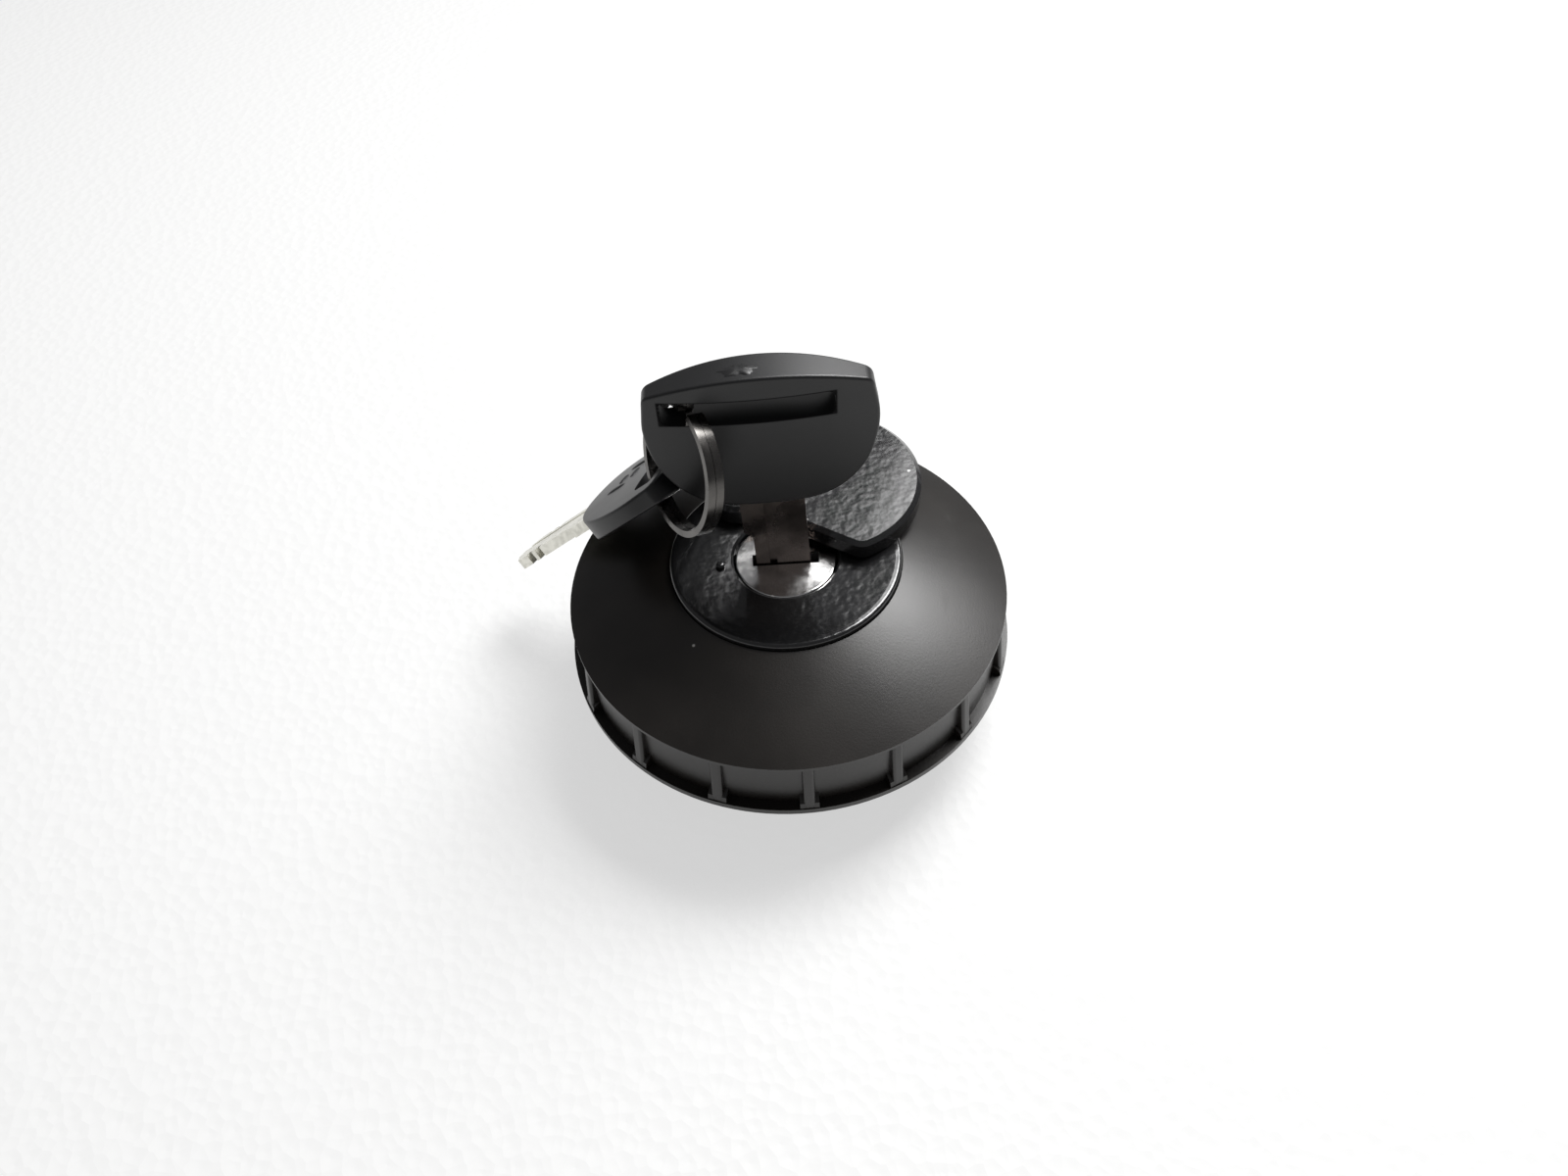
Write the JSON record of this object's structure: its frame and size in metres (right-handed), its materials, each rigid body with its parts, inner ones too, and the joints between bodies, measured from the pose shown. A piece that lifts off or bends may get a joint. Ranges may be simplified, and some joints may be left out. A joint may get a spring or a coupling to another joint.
{
  "type": "locking fuel filler cap with keys",
  "caption": "Round ribbed locking fuel cap with a shallow cone, a swing-aside lock cover, a key in its lock and a spare key on a split ring.",
  "frame": {"origin": "on the cap's axis, on the underside of the insert that the cap stands on", "axes": "+Z along the cap's axis, out of the tank; +X to the right and +Y away from the viewer in the usual front view; the key blade is broad along X"},
  "size_m": [0.0945, 0.0822, 0.0778],
  "materials": {
    "shell_plastic": "moulded black plastic, satin, lightly worn",
    "insert_plastic": "moulded black nylon, unpainted",
    "housing_paint": "gloss black paint with orange peel",
    "cover_paint": "gloss black paint with orange peel and specks",
    "lock_zinc": "die-cast zinc, as cast",
    "face_chrome": "polished, lightly scuffed",
    "wafer_brass": "stamped brass",
    "spring_wire": "drawn spring wire",
    "plated_steel": "zinc-plated steel",
    "bolt_steel": "stamped steel",
    "ring_steel": "nickel-plated flat steel wire",
    "gasket_rubber": "moulded nitrile rubber",
    "seal_rubber": "nitrile rubber",
    "vent_brass": "turned brass",
    "pivot_paint": "gloss black paint",
    "bow_plastic": "moulded black plastic, satin, worn at its edges",
    "blade_one_metal": "nickel plating, dulled",
    "blade_two_metal": "nickel plating, bright"
  },
  "bodies": {
    "cap": {"cap_shell": "shell_plastic", "lock_housing": "housing_paint", "housing_nut": "plated_steel", "insert_body": "insert_plastic", "insert_screws": "plated_steel", "insert_floor": "insert_plastic", "floor_screws": "plated_steel", "main_gasket": "gasket_rubber", "vent_seat": "vent_brass", "vent_retainer": "vent_brass", "vent_spring": "spring_wire", "cover_spring_washer": "plated_steel", "cover_pivot": "pivot_paint"},
    "cover": {"swing_cover": "cover_paint"},
    "barrel": {"lock_barrel": "lock_zinc", "barrel_face_cap": "face_chrome", "wafer_tumblers": "wafer_brass", "wafer_springs": "spring_wire", "barrel_o_ring": "seal_rubber", "barrel_clip": "spring_wire", "cam_disc": "bolt_steel", "cam_screw": "plated_steel"},
    "bolt_1": {"locking_bolt_1": "bolt_steel", "bolt_pin_1": "plated_steel"},
    "bolt_2": {"locking_bolt_2": "bolt_steel", "bolt_pin_2": "plated_steel"},
    "vent": {"vent_plunger": "vent_brass"},
    "first_key": {"key_1_blade": "blade_one_metal", "key_1_bow": "bow_plastic"},
    "key_ring": {"split_ring": "ring_steel"},
    "spare_key": {"key_2_blade": "blade_two_metal", "key_2_bow": "bow_plastic"}
  },
  "joints": [
    {"name": "cover_swing", "type": "hinge", "parent": "cap", "child": "cover", "pos_m": [-0.00815, 0.01316, 0.036], "axis": [0, 0, 1], "range_deg": [0, 20]},
    {"name": "key_turn", "type": "hinge", "parent": "cap", "child": "barrel", "pos_m": [0, 0, 0.02], "axis": [0, 0, 1], "range_deg": [0, 90]},
    {"name": "bolt_1_slide", "type": "slide", "parent": "cap", "child": "bolt_1", "axis": [-1, 0, 0], "range_m": [0, 0.0034]},
    {"name": "bolt_2_slide", "type": "slide", "parent": "cap", "child": "bolt_2", "axis": [1, 0, 0], "range_m": [0, 0.0034]},
    {"name": "vent_lift", "type": "slide", "parent": "cap", "child": "vent", "axis": [0, 0, 1], "range_m": [0, 0.001], "stiffness_N_per_m": 300, "springref_m": -0.002, "deforming": ["vent_spring"]},
    {"name": "key_pull", "type": "slide", "parent": "barrel", "child": "first_key", "axis": [-0.0349, 0, 0.9994], "range_m": [0, 0.012]},
    {"name": "ring_swing", "type": "hinge", "parent": "first_key", "child": "key_ring", "pos_m": [-0.01426, 0, 0.07068], "axis": [0.9994, 0, 0.0349], "range_deg": [0, 12]},
    {"name": "spare_key_swing", "type": "hinge", "parent": "key_ring", "child": "spare_key", "pos_m": [-0.0207, 0.002, 0.05156], "axis": [0.3941, 0.8821, -0.258], "range_deg": [0, 8]}
  ],
  "couplings": [
    {"joint": "bolt_1_slide", "follows": "key_turn", "m_per_rad": 0.002164},
    {"joint": "bolt_2_slide", "follows": "key_turn", "m_per_rad": 0.002164}
  ]
}
